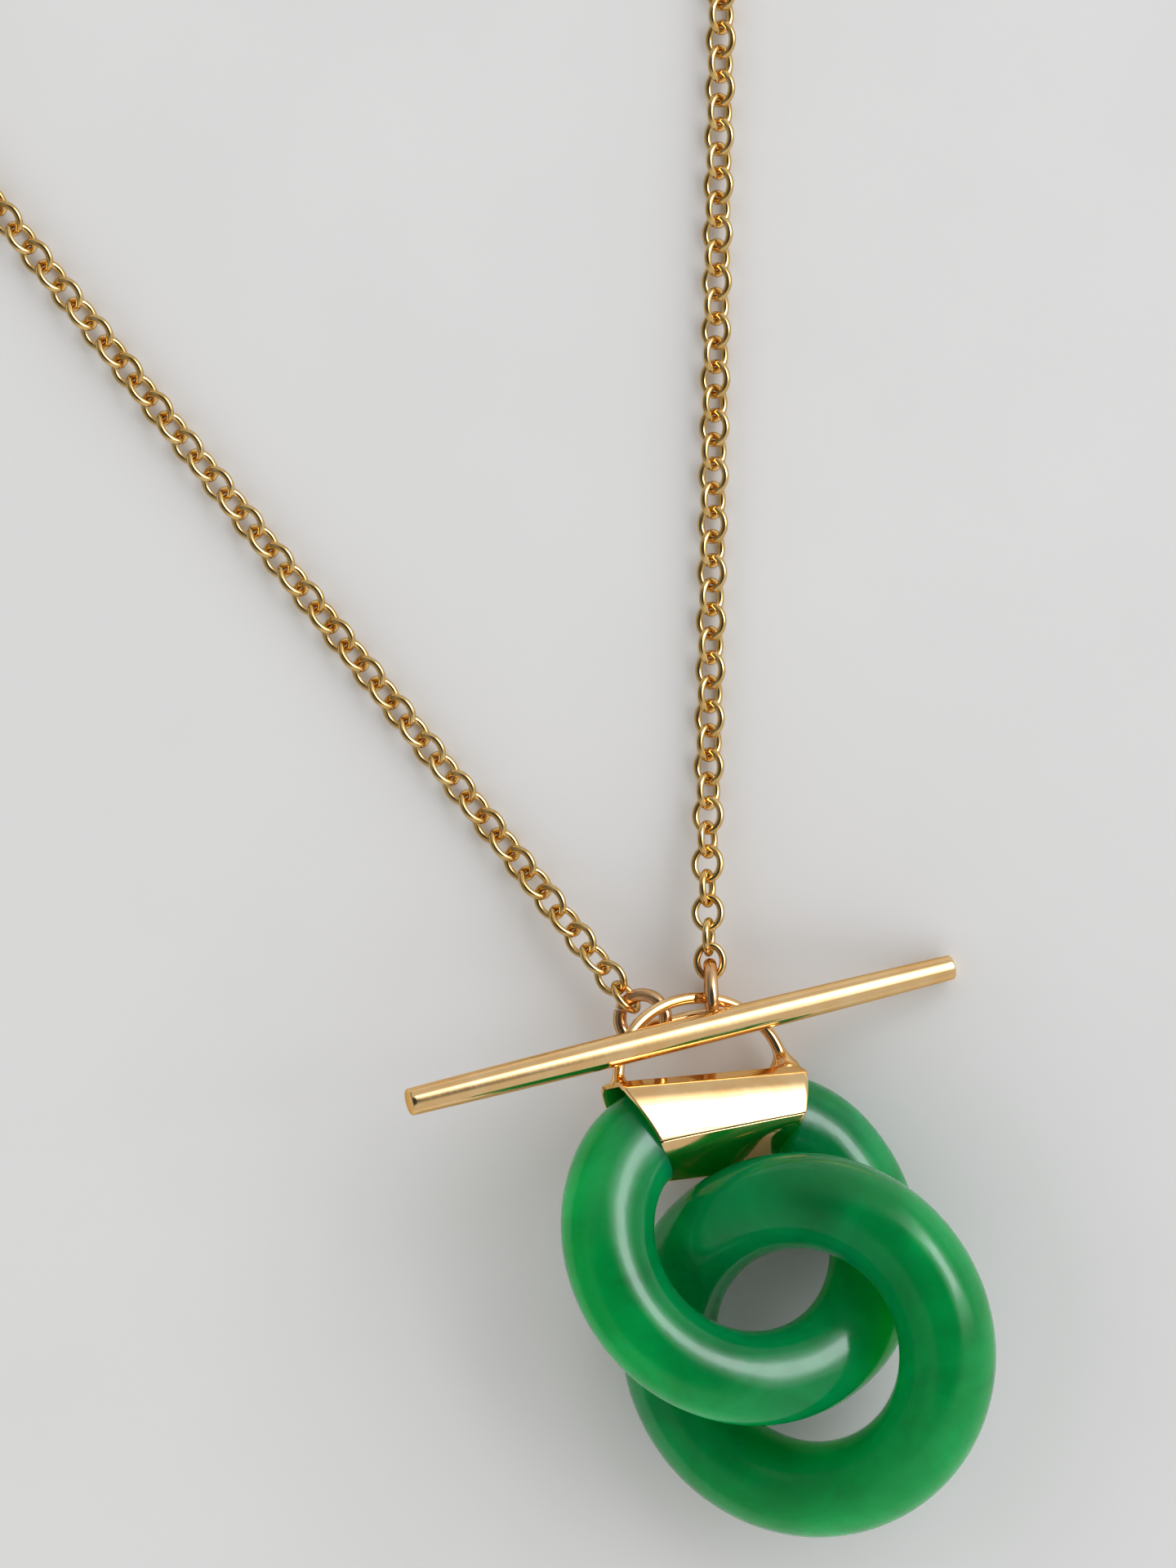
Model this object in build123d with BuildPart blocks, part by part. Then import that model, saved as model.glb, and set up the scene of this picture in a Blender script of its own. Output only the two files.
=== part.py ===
"""A jade necklace laid flat: a gold cable chain, a toggle bar, and two linked jade rings on a gold bail.

The pieces are made in a lying frame whose origin is where the two straight runs of the chain would
meet. X points right, +Y points to the clasp and Z = 0 is the surface. At the end everything is moved
so that the origin is the middle of the necklace's own box, on the surface.
"""

import os
from math import acos, asin, atan2, cos, degrees, hypot, radians, sin, tan

from build123d import *

os.makedirs("parts", exist_ok=True)

# Chain links: four-centred ovals of round wire
link_wire = 0.40
link_pitch = 1.61
link_clearance = 0.13
link_width = 2.17
link_end_radius = 0.75
wide_link_turn = 29.0
narrow_link_turn = -45.5
link_count_left = 121
link_count_right = 120

# The way the chain lies
half_angle = 19.75
lead_left = 8.27
lead_right = 8.83
rise_length = 14.0
foot_shift = 0.27
foot_length = 7.0
clasp_count = 8
foot_count_left = 3
foot_wide_left = 29.0
foot_narrow_left = -62.0
foot_count_right = 8
foot_wide_right = 0.0
foot_narrow_right = -80.0
foot_drop_left = 0.35
clasp_edge_on = -75.0
surface_gap = 0.01

# Lower jade ring. It leans on the upper one, and its outer edge keeps clear of the cuff's foot
ring_radius_lower = 9.65
ring_section_lower = 3.155
ring_bearing_lower = -77.44
ring_lean_lower = 1.6
ring_clear_of_ring = 0.13
ring_clear_of_cuff = 0.165
most_tilt = 45.0
tilt_step = 0.001
round_count = 90

# Upper jade ring, a little flattened where the bail holds it
ring_radius_upper = 9.38
ring_section_upper = 3.115
ring_thickness_upper = 2.49
ring_tilt_upper = 27.57
ring_lean_upper = -155.3
ring_flat_depth = 1.4
ring_shoulder_radius = 6.0
bail_bearing = -126.0
bail_place = (0.430, -1.939)

# Bail: a cuff of sheet gold wrapped round the upper ring, with a wire loop soldered to it
sheet = 0.35
bail_play = 0.08
bail_swing = 12.0
cuff_top = 3.20
cuff_bottom = 3.60
cuff_front = 3.10
cuff_back = 3.05
cuff_top_front = 1.20
cuff_top_back = 1.70
cuff_bevel = 0.45
cuff_bevel_length = 0.90
cuff_front_bulge = (0.40, 0.93)
cuff_back_bulge = (0.45, 0.92)
cuff_crease = 0.45
cuff_crease_slope = 49.0
cuff_crease_skew = 0.045
cuff_foot_flat = 3.18
cuff_foot_skew = 0.07
cuff_reach_at_left = 0.90
cuff_reach_at_right = 0.85
cuff_reach_left = 7.35
cuff_reach_right = 5.75
cuff_waist_at_left = 0.14
cuff_waist_at_right = 0.13
cuff_waist_left = 5.85
cuff_waist_right = 4.75
cuff_foot_left = 4.20
cuff_foot_right = 3.80
loop_half_width = 5.92
loop_height = 5.30
loop_wire = 0.76
loop_shift = -0.82
loop_droop = 4.0
solder_radius = 0.80
solder_height = 0.75

# Toggle bar with its soldered eyelet
bar_length = 38.5
bar_mid = 2.03
bar_left = 1.77
bar_right = 1.62
bar_edge = 0.12
bar_middle = (0.05, 4.391)
bar_heading = -5.5
bar_rest_at = 3.96
bar_over_bail = 1.922
bar_floor_gap = 0.03
eyelet_left = 2.25
eyelet_right = 3.60
eyelet_depth = 4.15
eyelet_corner = 2.0
eyelet_wire = 0.74
eyelet_lean = 12.0

# Jump rings, each cut open at a seam
jump_wire = 0.87
jump_seam = 3.5
left_jump_radius = 1.60
left_jump_from_bar = (-2.25, 1.663, -3.46)
left_jump_tilt = 19.0
left_jump_lean = -18.8
left_jump_seam_at = 160.0
right_jump_radius = 2.16
right_jump_from_bar = (2.522, 1.549)
right_jump_hang = 0.334
right_jump_heading = 73.8
right_jump_seam_at = -60.0

# Plain ring clasp with an eyelet at each side
clasp_radius = 2.40
clasp_wire = 1.60
clasp_eyelet_radius = 0.85
clasp_eyelet_wire = 0.44

up = Vector(0, 0, 1)


def leaning_plane(center, lean, tilt):
    """A plane whose x direction points at the raised side: lean is its compass angle, tilt its rise."""
    raised = Vector(
        cos(radians(lean)) * cos(radians(tilt)), sin(radians(lean)) * cos(radians(tilt)), sin(radians(tilt))
    )
    normal = Vector(
        -cos(radians(lean)) * sin(radians(tilt)), -sin(radians(lean)) * sin(radians(tilt)), cos(radians(tilt))
    )
    return Plane(origin=center, x_dir=raised, z_dir=normal)


def resting_height(radius, half_section, half_thickness, tilt):
    """Height of a tilted ring's centre when its lowest side touches the surface."""
    low, flat = sin(radians(tilt)), cos(radians(tilt))
    return radius * low + hypot(half_section * low, half_thickness * flat)


# One chain link, long side along X
link_half = (link_pitch + link_wire + link_clearance) / 2
link_side = (link_width - link_wire) / 2
end_center = link_half - link_end_radius
side_radius = (end_center**2 + link_side**2 - link_end_radius**2) / (2 * (link_side - link_end_radius))
side_center = side_radius - link_side
tangent_angle = degrees(atan2(side_center, end_center))

with BuildPart() as link:
    with BuildLine() as link_path:
        CenterArc((end_center, 0), link_end_radius, -tangent_angle, 2 * tangent_angle)
        CenterArc((0, -side_center), side_radius, tangent_angle, 180 - 2 * tangent_angle)
        CenterArc((-end_center, 0), link_end_radius, 180 - tangent_angle, 2 * tangent_angle)
        CenterArc((0, side_center), side_radius, 180 + tangent_angle, 180 - 2 * tangent_angle)
    with BuildSketch(Plane(origin=link_path.line @ 0, z_dir=link_path.line % 0)):
        Circle(link_wire / 2)
    sweep()

# The chain's loop: two straight runs and one long arc through the clasp
clasp_half = (
    clasp_radius + clasp_wire / 2 + 2 * clasp_eyelet_radius - clasp_eyelet_wire
    - link_wire / 2 - link_clearance + link_half
)
loop_length = (
    lead_left + lead_right + (link_count_left + link_count_right - 2) * link_pitch + 2 * clasp_half
)
half_turn = radians(90 + half_angle)
run_length = loop_length / 2 / (1 + tan(radians(half_angle)) * half_turn)
arc_radius = run_length * tan(radians(half_angle))
arc_center = run_length / cos(radians(half_angle))


def chain_point(side, distance):
    """Place and heading on the loop at a distance along it: side is -1 for left and 1 for right."""
    if distance <= run_length:
        heading = Vector(side * sin(radians(half_angle)), cos(radians(half_angle)), 0)
        across = heading.cross(up)
        near = max(0.0, 1 - (distance - lead_right) / foot_length)
        shift = foot_shift * near**2 if side > 0 else 0.0
        return heading * distance + across * shift, heading
    swept = (distance - run_length) / arc_radius - radians(half_angle)
    place = Vector(side * arc_radius * cos(swept), arc_center + arc_radius * sin(swept), 0)
    return place, Vector(-side * sin(swept), cos(swept), 0)


def resting_link_height(number, count):
    """Height at which the narrow links touch the surface; they stand up on edge near the clasp."""
    near_clasp = max(0.0, 1 - (count - 1 - number) / clasp_count)
    turn = narrow_link_turn + (clasp_edge_on - narrow_link_turn) * near_clasp
    return link_side * abs(sin(radians(turn))) + link_wire / 2 + surface_gap


def chain_height(foot_height, along, number, count):
    """The chain rises from the surface to its jump ring over the last stretch."""
    rest = resting_link_height(number, count)
    share = min(1.0, along / rise_length)
    return rest + (foot_height - rest) * (1 - share) ** 2 * (1 + 2 * share)


def link_turn(side, number, count):
    """How far a link is turned about the chain's own line, from lying flat."""
    wide = (number % 2 == 0) == (side > 0)
    turn = wide_link_turn if wide else narrow_link_turn
    if side > 0:
        near_foot = max(0.0, 1 - number / foot_count_right)
        target = foot_wide_right if wide else foot_narrow_right
    else:
        near_foot = max(0.0, 1 - number / foot_count_left)
        target = foot_wide_left if wide else foot_narrow_left
    turn = turn + (target - turn) * near_foot
    near_clasp = max(0.0, 1 - (count - 1 - number) / clasp_count)
    target = clasp_edge_on + 90 if wide else clasp_edge_on
    return turn + (target - turn) * near_clasp


def chain_half(side, count, lead, foot_height):
    """All links of one half of the chain, from the jump ring to the clasp."""
    links = []
    distance = lead
    for number in range(count):
        along = distance - lead
        here, heading = chain_point(side, distance)
        height = chain_height(foot_height, along, number, count)
        ahead = chain_height(foot_height, along + link_pitch, number + 1, count)
        slope = atan2(ahead - height, link_pitch)
        line = heading * cos(slope) + up * sin(slope)
        across = heading.cross(up)
        turn = radians(link_turn(side, number, count))
        width = across * cos(turn) + across.cross(line) * sin(turn)
        frame = Plane(origin=here + up * height, x_dir=line, z_dir=line.cross(width))
        links.append(link.part.moved(frame.location))
        distance += link_pitch
    return links


# Upper jade ring, with its bail at local +X
flat_distance = ring_radius_upper - ring_flat_depth
upper_height = resting_height(
    ring_radius_upper, ring_section_upper, ring_thickness_upper, ring_tilt_upper
)
turned_upper = leaning_plane((0, 0, 0), ring_lean_upper, ring_tilt_upper).location * Location(
    (0, 0, 0), (0, 0, bail_bearing)
)
to_bail = Plane(turned_upper).x_dir * flat_distance
bail_height = upper_height + to_bail.Z
upper_center = Vector(*bail_place, bail_height) - to_bail
upper_place = Location(upper_center) * turned_upper


def lower_plane(tilt):
    """Where the lower ring rests on the surface at a tilt, clear of the cuff's foot."""
    bearing = radians(ring_bearing_lower)
    edge = ring_radius_lower + ring_section_lower
    spacing = edge + ring_clear_of_cuff + cuff_foot_flat - flat_distance
    height = resting_height(ring_radius_lower, ring_section_lower, ring_section_lower, tilt)
    center = (upper_center.X + spacing * cos(bearing), upper_center.Y + spacing * sin(bearing), height)
    return leaning_plane(center, ring_lean_lower, tilt)


def round_points(plane, radius):
    """Points round a ring's centre line, each with its outward direction."""
    points = []
    for step in range(round_count):
        angle = radians(360 * step / round_count)
        out = plane.x_dir * cos(angle) + plane.y_dir * sin(angle)
        points.append((tuple(plane.origin + out * radius), tuple(out)))
    return points


def ring_gap(lower, upper):
    """Least clear distance between the two linked rings when they lie in these planes."""
    lower_points = round_points(lower, ring_radius_lower)
    upper_points = round_points(upper, ring_radius_upper)
    normal = tuple(upper.z_dir)
    least = ring_radius_upper
    for here, _ in lower_points:
        for there, out in upper_points:
            way = [a - b for a, b in zip(here, there)]
            apart = hypot(*way)
            across = sum(a * b for a, b in zip(way, out)) / apart
            along = sum(a * b for a, b in zip(way, normal)) / apart
            section = hypot(ring_section_upper * across, ring_thickness_upper * along)
            least = min(least, apart - ring_section_lower - section)
    return least


# Lower jade ring, tilted just enough to clear the upper one that it lies on
low_tilt, high_tilt = 0.0, most_tilt
while high_tilt - low_tilt > tilt_step:
    tilt = (low_tilt + high_tilt) / 2
    if ring_gap(lower_plane(tilt), Plane(upper_place)) < ring_clear_of_ring:
        low_tilt = tilt
    else:
        high_tilt = tilt
lower_place = lower_plane(high_tilt).location

with BuildPart() as jade_ring_lower:
    with BuildSketch(Plane.XZ):
        with Locations((ring_radius_lower, 0)):
            Circle(ring_section_lower)
    revolve(axis=Axis.Z)

shoulder_center = ring_radius_upper - ring_shoulder_radius
shoulder_angle = degrees(acos((flat_distance - ring_shoulder_radius) / shoulder_center))
shoulder_x = shoulder_center * cos(radians(shoulder_angle))
shoulder_y = shoulder_center * sin(radians(shoulder_angle))
cuff_local = Plane(
    origin=(flat_distance, 0, 0),
    x_dir=(0, -1, 0),
    z_dir=(-sin(radians(bail_swing)), 0, cos(radians(bail_swing))),
).location

# Cuff frame: x along the cuff, y out to the loop, z towards the front
crease_plane = Plane(
    origin=(0, -cuff_crease, cuff_front),
    z_dir=(cuff_crease_skew, -sin(radians(cuff_crease_slope)), cos(radians(cuff_crease_slope))),
)
foot_plane = Plane(
    origin=(0, -cuff_foot_flat, 0),
    x_dir=(1, cuff_foot_skew, 0),
    z_dir=(cuff_foot_skew, -1, 0),
)


def cuff_body(inset):
    """The cuff's filled outer form, or the form that lies at a depth inside it."""
    with BuildPart() as body:
        with BuildSketch(Plane.YZ):
            with BuildLine():
                Polyline(
                    (cuff_top - cuff_bevel, cuff_top_front + cuff_bevel_length),
                    (cuff_top, cuff_top_front),
                    (cuff_top, -cuff_top_back),
                )
                ThreePointArc(
                    (cuff_top, -cuff_top_back),
                    (cuff_back_bulge[0] * cuff_top, -cuff_back_bulge[1] * cuff_back),
                    (cuff_front - cuff_bottom, -cuff_back),
                )
                ThreePointArc(
                    (cuff_front - cuff_bottom, -cuff_back),
                    (-cuff_bottom, 0),
                    (cuff_front - cuff_bottom, cuff_front),
                )
                ThreePointArc(
                    (cuff_front - cuff_bottom, cuff_front),
                    (cuff_front_bulge[0] * cuff_top, cuff_front_bulge[1] * cuff_front),
                    (cuff_top - cuff_bevel, cuff_top_front + cuff_bevel_length),
                )
            make_face()
            if inset:
                offset(amount=-inset)
        extrude(amount=cuff_reach_left + cuff_reach_right, both=True)
        split(bisect_by=crease_plane.offset(-inset), keep=Keep.BOTTOM)
        split(bisect_by=foot_plane.offset(-inset), keep=Keep.BOTTOM)
    return body.part


def cuff_footprint(margin):
    """The stretch of ring that the cuff covers, narrower towards the ring's hole."""
    with BuildPart() as footprint:
        with BuildSketch(Plane.XY):
            with BuildLine():
                ThreePointArc(
                    (cuff_foot_right, -cuff_bottom),
                    (cuff_waist_right, -cuff_waist_at_right * cuff_bottom),
                    (cuff_reach_right, cuff_reach_at_right * cuff_top),
                )
                Polyline(
                    (cuff_reach_right, cuff_reach_at_right * cuff_top),
                    (cuff_reach_right, 2 * cuff_top),
                    (-cuff_reach_left, 2 * cuff_top),
                    (-cuff_reach_left, cuff_reach_at_left * cuff_top),
                )
                ThreePointArc(
                    (-cuff_reach_left, cuff_reach_at_left * cuff_top),
                    (-cuff_waist_left, -cuff_waist_at_left * cuff_bottom),
                    (-cuff_foot_left, -cuff_bottom),
                )
                Polyline(
                    (-cuff_foot_left, -cuff_bottom),
                    (-cuff_foot_left, -2 * cuff_bottom),
                    (cuff_foot_right, -2 * cuff_bottom),
                    (cuff_foot_right, -cuff_bottom),
                )
            make_face()
            if margin:
                offset(amount=margin)
        extrude(amount=2 * cuff_front, both=True)
    return footprint.part


# What is ground off the jade to seat the cuff
with BuildPart() as seat:
    add(cuff_footprint(bail_play))
    add(cuff_body(sheet + bail_play), mode=Mode.SUBTRACT)

with BuildPart() as jade_ring_upper:
    with BuildLine() as ring_path:
        Line((flat_distance, -shoulder_y), (flat_distance, shoulder_y))
        CenterArc((shoulder_x, shoulder_y), ring_shoulder_radius, 0, shoulder_angle)
        CenterArc((0, 0), ring_radius_upper, shoulder_angle, 360 - 2 * shoulder_angle)
        CenterArc((shoulder_x, -shoulder_y), ring_shoulder_radius, -shoulder_angle, shoulder_angle)
    with BuildSketch(Plane(origin=(flat_distance, -shoulder_y, 0), x_dir=(1, 0, 0), z_dir=(0, 1, 0))):
        Ellipse(ring_section_upper, ring_thickness_upper)
    sweep()
    add(seat.part.moved(cuff_local), mode=Mode.SUBTRACT)

# Bail
cuff_middle = (cuff_top_front - cuff_top_back) / 2
loop_frame = Plane(
    origin=(loop_shift, cuff_top - sheet / 2, cuff_middle),
    x_dir=(1, 0, 0),
    z_dir=(0, sin(radians(loop_droop)), cos(radians(loop_droop))),
)
with BuildPart() as bail:
    add(cuff_body(0))
    add(cuff_body(sheet), mode=Mode.SUBTRACT)
    add(cuff_footprint(0), mode=Mode.INTERSECT)
    # the wire loop, half an oval
    with BuildLine(loop_frame) as loop_path:
        EllipticalCenterArc((0, 0), loop_half_width, loop_height, start_angle=0, arc_size=180)
    with BuildSketch(Plane(origin=loop_path.line @ 0, z_dir=loop_path.line % 0)):
        Circle(loop_wire / 2)
    sweep()
    # solder round both feet
    for foot in (-loop_half_width, loop_half_width):
        with Locations(loop_frame.location * Location((foot, 0, 0), (-90, 0, 0))):
            Cone(
                solder_radius,
                loop_wire / 2,
                solder_height + sheet / 2,
                align=(Align.CENTER, Align.CENTER, Align.MIN),
            )

# Toggle bar: local x runs from its raised left end, past the bail's loop that it lies on, to its low
# right end on the surface
bar_arm = bar_length / 2 + bar_rest_at
rest_height = bail_height + bar_over_bail + bar_mid / 2
bar_tilt = degrees(
    asin((rest_height - bar_floor_gap) / hypot(bar_arm, bar_right / 2)) - atan2(bar_right / 2, bar_arm)
)
bar_height = rest_height - bar_rest_at * sin(radians(bar_tilt))
bar_frame = leaning_plane((*bar_middle, bar_height), bar_heading, -bar_tilt)
eyelet_frame = Plane(
    origin=(0, 0, 0),
    x_dir=(1, 0, 0),
    z_dir=(0, -cos(radians(eyelet_lean)), -sin(radians(eyelet_lean))),
)
with BuildPart() as t_bar:
    with BuildSketch(Plane.XY) as profile:
        with BuildLine():
            Line((-bar_length / 2, 0), (-bar_length / 2, bar_left / 2))
            ThreePointArc((-bar_length / 2, bar_left / 2), (0, bar_mid / 2), (bar_length / 2, bar_right / 2))
            Line((bar_length / 2, bar_right / 2), (bar_length / 2, 0))
            Line((bar_length / 2, 0), (-bar_length / 2, 0))
        make_face()
        fillet([corner for corner in profile.vertices() if corner.Y > bar_edge], radius=bar_edge)
    revolve(axis=Axis.X)
    with BuildLine(eyelet_frame) as eyelet_path:
        FilletPolyline(
            (-eyelet_left, 0),
            (-eyelet_left, -eyelet_depth),
            (eyelet_right, -eyelet_depth),
            (eyelet_right, 0),
            radius=eyelet_corner,
        )
    with BuildSketch(Plane(origin=eyelet_path.line @ 0, z_dir=eyelet_path.line % 0)):
        Circle(eyelet_wire / 2)
    sweep()


def jump_ring(radius, seam_at):
    """An open ring of round wire in the XY plane, with its seam at an angle from local X."""
    with BuildPart() as ring:
        with BuildSketch(Plane.XZ):
            with Locations((radius, 0)):
                Circle(jump_wire / 2)
        revolve(axis=Axis.Z, revolution_arc=360 - jump_seam)
    return ring.part.moved(Location((0, 0, 0), (0, 0, seam_at + jump_seam / 2)))


left_jump_center = Vector(*bar_middle, bar_height) + Vector(*left_jump_from_bar)
left_jump_frame = leaning_plane(left_jump_center, left_jump_lean, left_jump_tilt)
right_jump_drop = bar_mid / 2 + right_jump_hang + jump_wire / 2 + right_jump_radius
right_jump_center = Vector(*bar_middle, bar_height) + Vector(*right_jump_from_bar, -right_jump_drop)
right_jump_way = radians(right_jump_heading)
right_jump_frame = Plane(
    origin=right_jump_center,
    x_dir=(cos(right_jump_way), sin(right_jump_way), 0),
    z_dir=(sin(right_jump_way), -cos(right_jump_way), 0),
)
jump_ring_left = jump_ring(left_jump_radius, left_jump_seam_at)
jump_ring_right = jump_ring(right_jump_radius, right_jump_seam_at)

# Clasp at the far end of the loop
clasp_distance = lead_left + (link_count_left - 1) * link_pitch + clasp_half
clasp_place, clasp_heading = chain_point(-1, clasp_distance)
clasp_rest = resting_link_height(link_count_left - 1, link_count_left)
clasp_frame = Plane(origin=clasp_place + up * clasp_rest, x_dir=clasp_heading, z_dir=up)
eyelet_offset = clasp_radius + clasp_wire / 2 + clasp_eyelet_radius - clasp_eyelet_wire / 2
with BuildPart() as clasp:
    Torus(clasp_radius, clasp_wire / 2, rotation=(0, 0, 90))
    with Locations((-eyelet_offset, 0), (eyelet_offset, 0)):
        Torus(clasp_eyelet_radius, clasp_eyelet_wire / 2)

# Lay every piece in its place
left_foot_height = left_jump_center.Z - foot_drop_left
pieces = {
    "chain_left": Compound(children=chain_half(-1, link_count_left, lead_left, left_foot_height)),
    "chain_right": Compound(children=chain_half(1, link_count_right, lead_right, right_jump_center.Z)),
    "jump_ring_left": jump_ring_left.moved(left_jump_frame.location),
    "jump_ring_right": jump_ring_right.moved(right_jump_frame.location),
    "t_bar": t_bar.part.moved(bar_frame.location),
    "bail": bail.part.moved(upper_place * cuff_local),
    "jade_ring_upper": jade_ring_upper.part.moved(upper_place),
    "jade_ring_lower": jade_ring_lower.part.moved(lower_place),
    "clasp": clasp.part.moved(clasp_frame.location),
}

# The origin goes to the middle of the whole box, on the surface
lows, highs = [], []
for piece in pieces.values():
    box = piece.bounding_box()
    lows.append(box.min)
    highs.append(box.max)
middle_x = (min(low.X for low in lows) + max(high.X for high in highs)) / 2
middle_y = (min(low.Y for low in lows) + max(high.Y for high in highs)) / 2
bottom = min(low.Z for low in lows)
to_origin = Location((-middle_x, -middle_y, -bottom))
for name, piece in pieces.items():
    placed = piece.moved(to_origin)
    placed.label = name
    export_step(placed, f"parts/{name}.step")
print("origin in the lying frame", middle_x, middle_y, bottom, "loop", loop_length, "arc", arc_radius)
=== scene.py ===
# %% [markdown]
# A jade necklace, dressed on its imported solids.
#
# The necklace lies on a pale surface and is seen from straight above. It has a gold cable chain, a toggle
# bar with a soldered eyelet, two jump rings, a bail made of a sheet cuff and a wire loop, and two linked
# jade rings.
#
# The solids already have the right sizes and lie in their real places. What they lack is finish: fine
# facets, soldered feet that flow into the sheet, and materials. Two ways lead there. The solids could be
# given materials as they are, which is quick but leaves their coarse facets in every highlight. Or each
# piece is built again from the same centres and directions, and then stands for its solid. Polished gold
# and jade show every facet, so this lesson takes the second way.

from math import acos, atan2, cos, hypot, pi, radians, sin

import bpy
import numpy as np
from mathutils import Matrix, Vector


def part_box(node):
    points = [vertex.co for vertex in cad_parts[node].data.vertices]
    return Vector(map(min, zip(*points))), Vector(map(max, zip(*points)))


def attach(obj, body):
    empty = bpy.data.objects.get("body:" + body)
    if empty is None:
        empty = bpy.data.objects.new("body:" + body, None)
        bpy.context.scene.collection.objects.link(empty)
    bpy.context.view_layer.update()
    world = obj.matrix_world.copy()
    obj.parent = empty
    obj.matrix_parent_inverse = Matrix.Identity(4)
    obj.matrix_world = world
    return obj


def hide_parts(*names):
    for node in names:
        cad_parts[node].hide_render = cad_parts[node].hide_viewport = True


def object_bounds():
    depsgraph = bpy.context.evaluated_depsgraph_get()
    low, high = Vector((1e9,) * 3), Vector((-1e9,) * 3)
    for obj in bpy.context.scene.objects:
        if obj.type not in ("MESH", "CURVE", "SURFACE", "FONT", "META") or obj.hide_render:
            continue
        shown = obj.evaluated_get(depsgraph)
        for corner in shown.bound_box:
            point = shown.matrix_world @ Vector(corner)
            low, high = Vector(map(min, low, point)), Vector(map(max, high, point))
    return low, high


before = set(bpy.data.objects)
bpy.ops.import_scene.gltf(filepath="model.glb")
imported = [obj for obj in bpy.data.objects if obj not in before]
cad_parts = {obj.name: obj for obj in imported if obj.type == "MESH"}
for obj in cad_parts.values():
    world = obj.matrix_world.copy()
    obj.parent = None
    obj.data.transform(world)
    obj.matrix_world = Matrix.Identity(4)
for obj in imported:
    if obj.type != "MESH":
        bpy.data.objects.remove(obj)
cad_low, cad_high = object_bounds()
print("nodes:", ", ".join(sorted(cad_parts)))

# %% [markdown]
# A jeweller thinks in millimetres and Blender works in metres, so sizes are written in millimetres and are
# turned into metres in one place only, where a mesh is made.
#
# The centres used below were measured in a lying frame, whose origin is where the two straight runs of
# chain would cross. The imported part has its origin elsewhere. The lower ring is a plain torus, so the
# middle of its box is also its centre: comparing the two gives the shift between the frames, and no number
# is guessed.

# %% Millimetres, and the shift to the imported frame
mm = 0.001
lower_ring_center = (1.12691, -17.5162)
ring_low, ring_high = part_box("jade_ring_lower")
shift = (ring_low + ring_high) / 2 / mm - Vector((*lower_ring_center, 0))
shift.z = 0
print("shift to the packed frame in mm:", [round(v, 3) for v in shift])

# %% [markdown]
# Each piece is simplest in its own millimetres: a ring lies flat round its origin, a bar runs along x. A
# matrix then carries it to its place. Blender's objects could do that with their own location and
# rotation, but here places hang on other places, as the loop hangs on the cuff and the cuff on a ring.
# Multiplying matrices says just that, and the mesh ends up with its corners where they really are.

# %% Places
def unit(vector):
    vector = np.asarray(vector, float)
    return vector / np.linalg.norm(vector)


def place(origin, x_direction, z_direction):
    """A 4 by 4 matrix from a piece's own millimetres to the lying frame."""
    x, z = unit(x_direction), unit(z_direction)
    matrix = np.eye(4)
    matrix[:3, 0], matrix[:3, 1], matrix[:3, 2], matrix[:3, 3] = x, np.cross(z, x), z, origin
    return matrix


def leaning(center, lean, tilt):
    """The place of a ring whose side towards the compass angle lean is raised by tilt."""
    lean, tilt = radians(lean), radians(tilt)
    raised = (cos(lean) * cos(tilt), sin(lean) * cos(tilt), sin(tilt))
    normal = (-cos(lean) * sin(tilt), -sin(lean) * sin(tilt), cos(tilt))
    return place(center, raised, normal)


def moved(matrix, points):
    """Points taken from a piece's own millimetres to its parent's."""
    points = np.asarray(points, float)
    return points @ matrix[:3, :3].T + matrix[:3, 3]


print("10 mm out on a ring raised by 30 degrees:", moved(leaning((0, 0, 0), 0, 30), (10, 0, 0)).round(2))

# %% [markdown]
# Materials. In Blender a material is a small tree of nodes that feeds one shader. What is constant goes
# straight on the shader's own sockets, and only what varies over the surface gets nodes. A picture of gold
# or stone could be wrapped round the pieces instead, but it would need unwrapping and would blur close up.
# Noise is sharp at any distance and needs no seams. The helpers make a start, a cloud of noise, a colour
# ramp, a remapped value and a bump, so that each finish below is a few lines.

# %% A start for each finish
def new_finish(name, **sockets):
    """A material whose shader has these constant values."""
    finish = bpy.data.materials.new(name)
    finish.use_nodes = True
    shader = finish.node_tree.nodes["Principled BSDF"]
    for socket, value in sockets.items():
        shader.inputs[socket.replace("_", " ")].default_value = value
    print("finish:", name)
    return finish, finish.node_tree, shader


def noise(tree, scale, detail=3.0, stretch=(1, 1, 1), distortion=0.0):
    """Noise in the frame's own space, so that it stays put on the piece; scale counts waves in a metre."""
    place_node = tree.nodes.new("ShaderNodeTexCoord")
    stretch_node = tree.nodes.new("ShaderNodeMapping")
    stretch_node.inputs["Scale"].default_value = stretch
    texture = tree.nodes.new("ShaderNodeTexNoise")
    texture.inputs["Scale"].default_value = scale
    texture.inputs["Detail"].default_value = detail
    texture.inputs["Distortion"].default_value = distortion
    tree.links.new(place_node.outputs["Object"], stretch_node.inputs["Vector"])
    tree.links.new(stretch_node.outputs["Vector"], texture.inputs["Vector"])
    return texture.outputs["Fac"]


def ramp(tree, value, stops):
    """A colour ramp: stops are (position, colour)."""
    stops = list(stops)
    node = tree.nodes.new("ShaderNodeValToRGB")
    while len(node.color_ramp.elements) < len(stops):
        node.color_ramp.elements.new(0.5)
    for element, (position, colour) in zip(node.color_ramp.elements, stops):
        element.position = position
        element.color = (*colour, 1)
    tree.links.new(value, node.inputs["Fac"])
    return node.outputs["Color"]


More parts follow.
